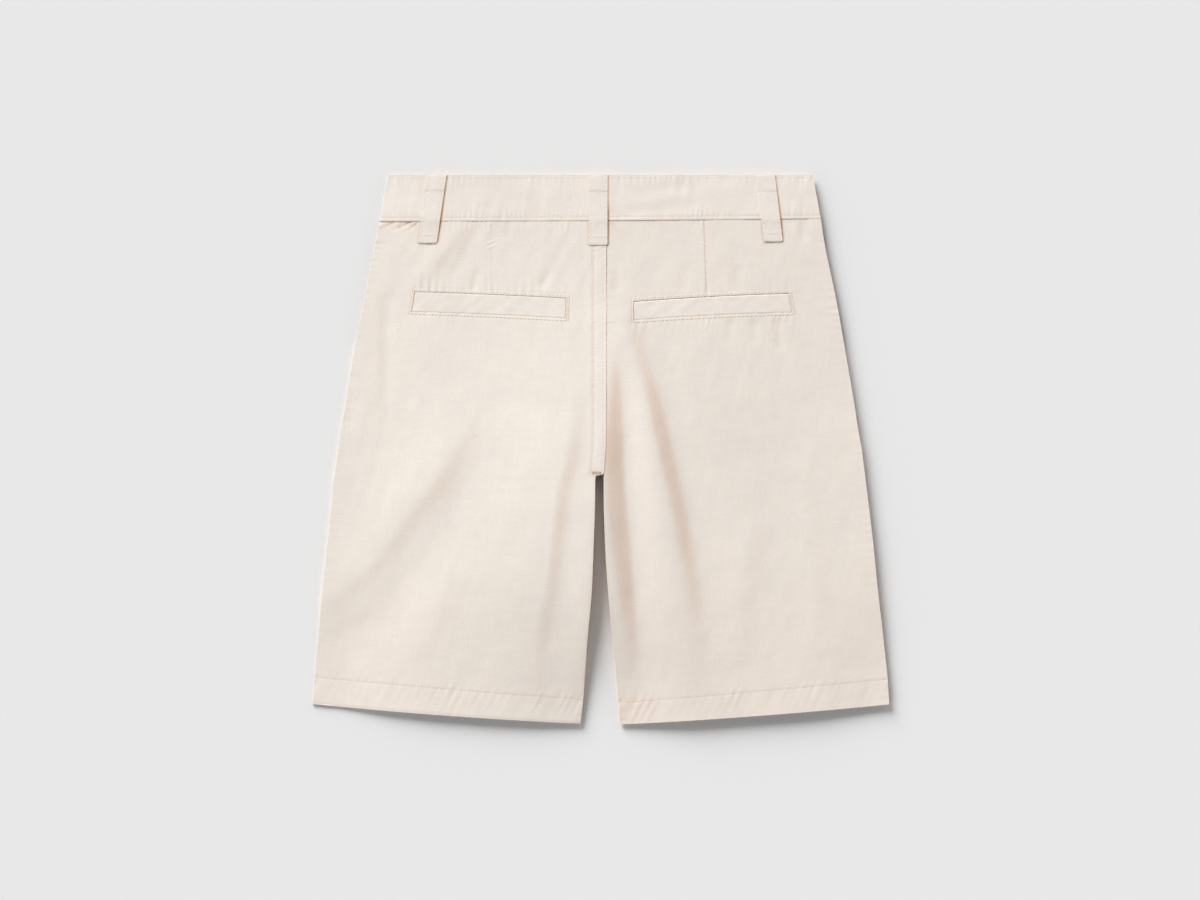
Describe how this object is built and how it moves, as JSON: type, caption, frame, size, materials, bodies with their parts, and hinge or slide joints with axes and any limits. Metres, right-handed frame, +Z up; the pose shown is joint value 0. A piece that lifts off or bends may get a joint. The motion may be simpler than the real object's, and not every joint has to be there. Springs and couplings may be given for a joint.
{
  "type": "bermuda shorts",
  "caption": "Pale cream cotton twill bermuda shorts laid flat with the back up: waistband with belt loops, seat darts, welt pockets, turned hems.",
  "frame": {"origin": "centre of the bounding box on the floor that the shorts lie on", "axes": "+Z up from the floor through the back of the shorts, +Y towards the waist, +X towards the wearer's right side"},
  "size_m": [0.422, 0.401, 0.0091],
  "materials": {
    "cotton_twill": "matt brushed twill, pale cream",
    "resin": "semi-gloss resin, horn colour"
  },
  "bodies": {
    "root": {"back_panel_left": "cotton_twill", "back_panel_right": "cotton_twill", "front_panel_left": "cotton_twill", "front_panel_right": "cotton_twill", "waistband_back": "cotton_twill", "waistband_front_left": "cotton_twill", "waistband_front_right": "cotton_twill", "pocket_welt_left": "cotton_twill", "pocket_welt_right": "cotton_twill", "belt_loop_back_left": "cotton_twill", "belt_loop_back_centre": "cotton_twill", "belt_loop_back_right": "cotton_twill", "belt_loop_front_left": "cotton_twill", "belt_loop_front_right": "cotton_twill", "waist_button": "resin"}
  },
  "joints": []
}
